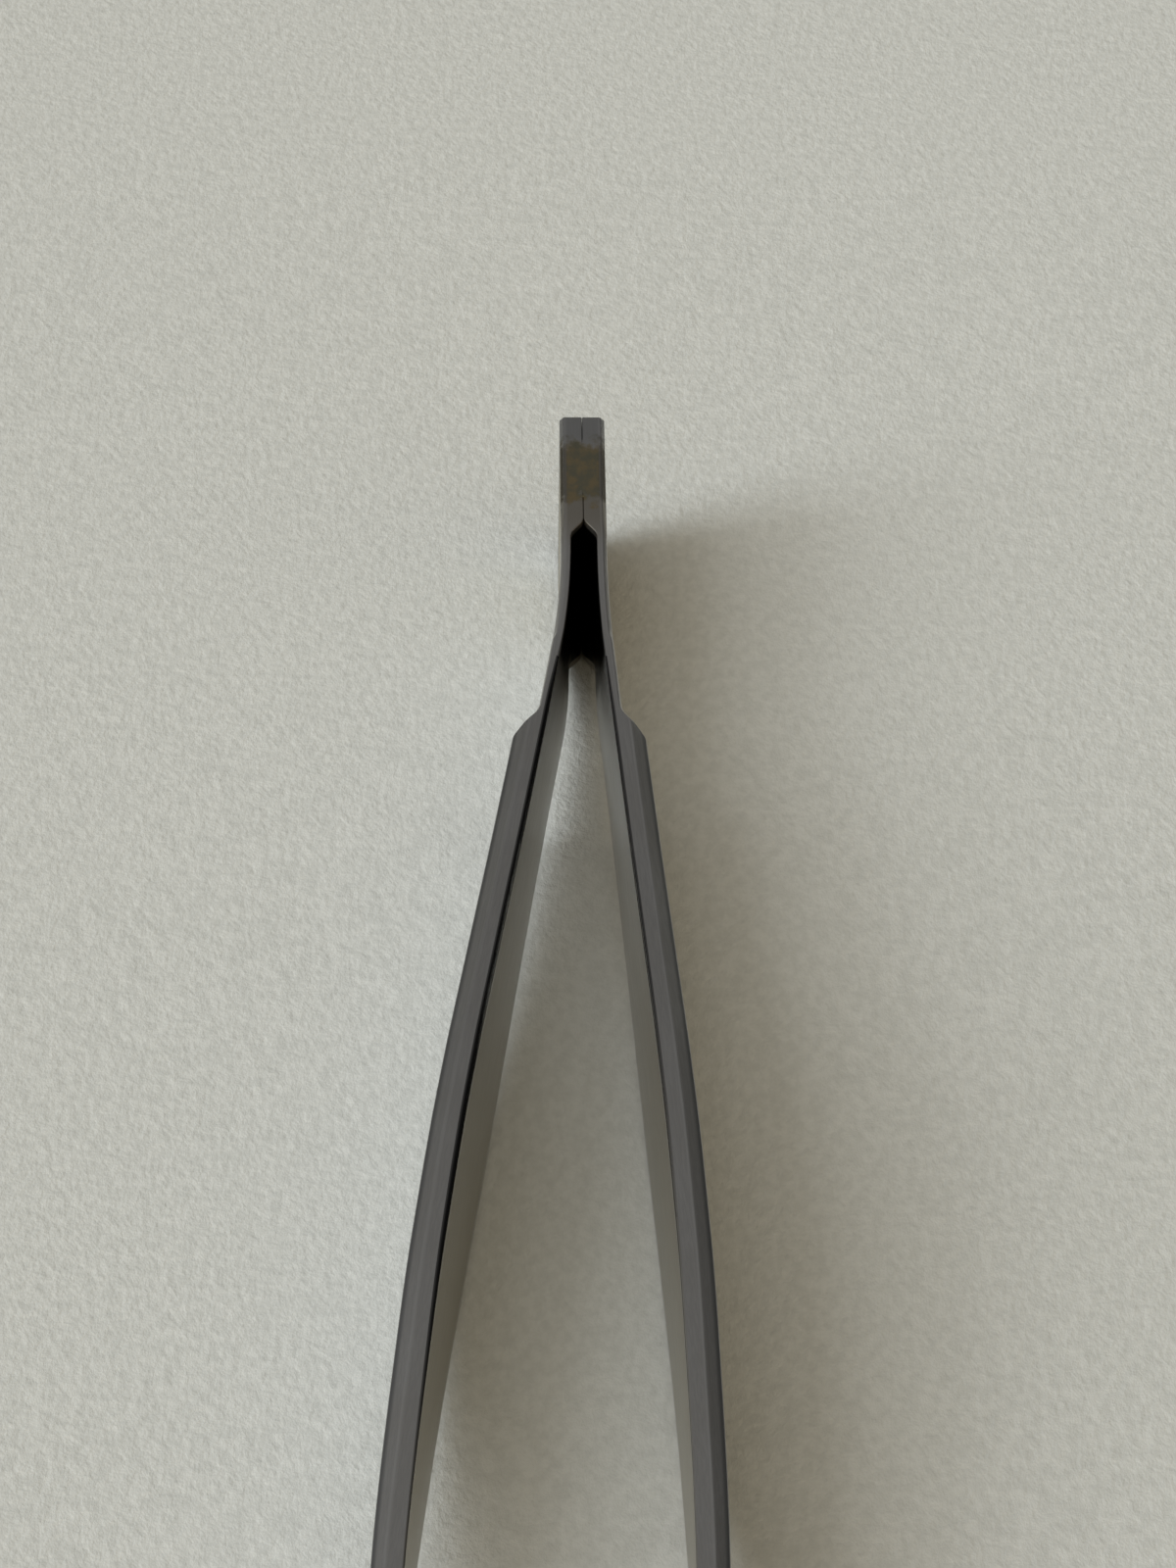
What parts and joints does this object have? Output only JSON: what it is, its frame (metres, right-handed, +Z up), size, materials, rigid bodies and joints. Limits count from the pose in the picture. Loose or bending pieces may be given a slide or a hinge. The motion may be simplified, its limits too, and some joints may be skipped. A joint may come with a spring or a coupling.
{
  "type": "tissue forceps",
  "caption": "Spring-leaf tissue forceps with a welded heel, bevelled grips and slim jaws with interlocking teeth, lying on the edges of their leaves.",
  "frame": {"origin": "centre of the bounding box's bottom face, under the middle of the length", "axes": "+Y from the toothed tips to the welded heel, X across the opening of the arms, +Z up along the width of the leaves"},
  "size_m": [0.0182, 0.1501, 0.0119],
  "materials": {
    "steel": "satin",
    "heel_steel": "satin, tinted brown by the heat of welding near the seam",
    "weld": "ground flush, straw-brown heat tint"
  },
  "bodies": {
    "heel": {"left_heel": "heel_steel", "right_heel": "heel_steel", "heel_weld": "weld"},
    "left_arm": {"left_arm": "steel"},
    "right_arm": {"right_arm": "steel"}
  },
  "joints": [
    {"name": "left_flex", "type": "hinge", "parent": "heel", "child": "left_arm", "pos_m": [-0.00154, 0.04976, 0.00595], "axis": [0, 0, 1], "range_deg": [0, 2.6], "stiffness_Nm_per_rad": 2},
    {"name": "right_flex", "type": "hinge", "parent": "heel", "child": "right_arm", "pos_m": [0.00154, 0.04983, 0.00595], "axis": [0, 0, 1], "range_deg": [-2.6, 0], "stiffness_Nm_per_rad": 2}
  ],
  "couplings": [
    {"joint": "right_flex", "follows": "left_flex", "ratio": -1}
  ]
}
